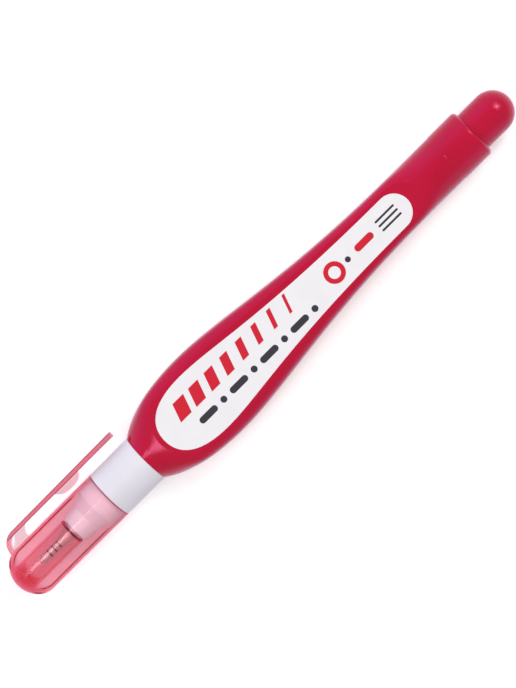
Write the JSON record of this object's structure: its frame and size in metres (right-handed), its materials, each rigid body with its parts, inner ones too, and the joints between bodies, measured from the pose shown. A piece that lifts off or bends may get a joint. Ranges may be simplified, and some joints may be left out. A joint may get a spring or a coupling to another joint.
{
  "type": "correction pen",
  "caption": "Squeeze correction pen: bulging flat-panelled red barrel with domed tail, white nozzle collar with sprung metal tip, translucent pull-off cap with moulded clip.",
  "frame": {"origin": "under the middle of the pen's length, on its axis line, at the surface that the rear panel rests on", "axes": "+X from the closed end of the cap to the tail, +Y towards the clip, +Z out of the labelled panel"},
  "size_m": [0.1386, 0.0196, 0.0117],
  "materials": {
    "barrel_plastic": "glossy red",
    "cap_plastic": "clear pink-red",
    "collar_plastic": "satin white",
    "label_film": "satin white film",
    "tip_metal": "turned",
    "ball_steel": "polished",
    "seat_plastic": "natural",
    "needle_steel": "ground",
    "spring_steel": "drawn wire"
  },
  "bodies": {
    "barrel": {"barrel": "barrel_plastic", "label": "label_film", "collar": "collar_plastic", "metal_tip": "tip_metal", "spring_seat": "seat_plastic", "valve_spring": "spring_steel"},
    "cap": {"cap": "cap_plastic"},
    "needle": {"valve_needle": "needle_steel"},
    "ball": {"mixing_ball": "ball_steel"}
  },
  "joints": [
    {"name": "cap_pull", "type": "slide", "parent": "barrel", "child": "cap", "axis": [-1, 0, 0], "range_m": [0, 0.03]},
    {"name": "needle_press", "type": "slide", "parent": "barrel", "child": "needle", "axis": [1, 0, 0], "range_m": [0, 0.00035], "stiffness_N_per_m": 150, "springref_m": -0.001, "deforming": ["valve_spring"]},
    {"name": "ball_roll", "type": "slide", "parent": "barrel", "child": "ball", "axis": [1, 0, 0], "range_m": [-0.031, 0.0455]}
  ]
}
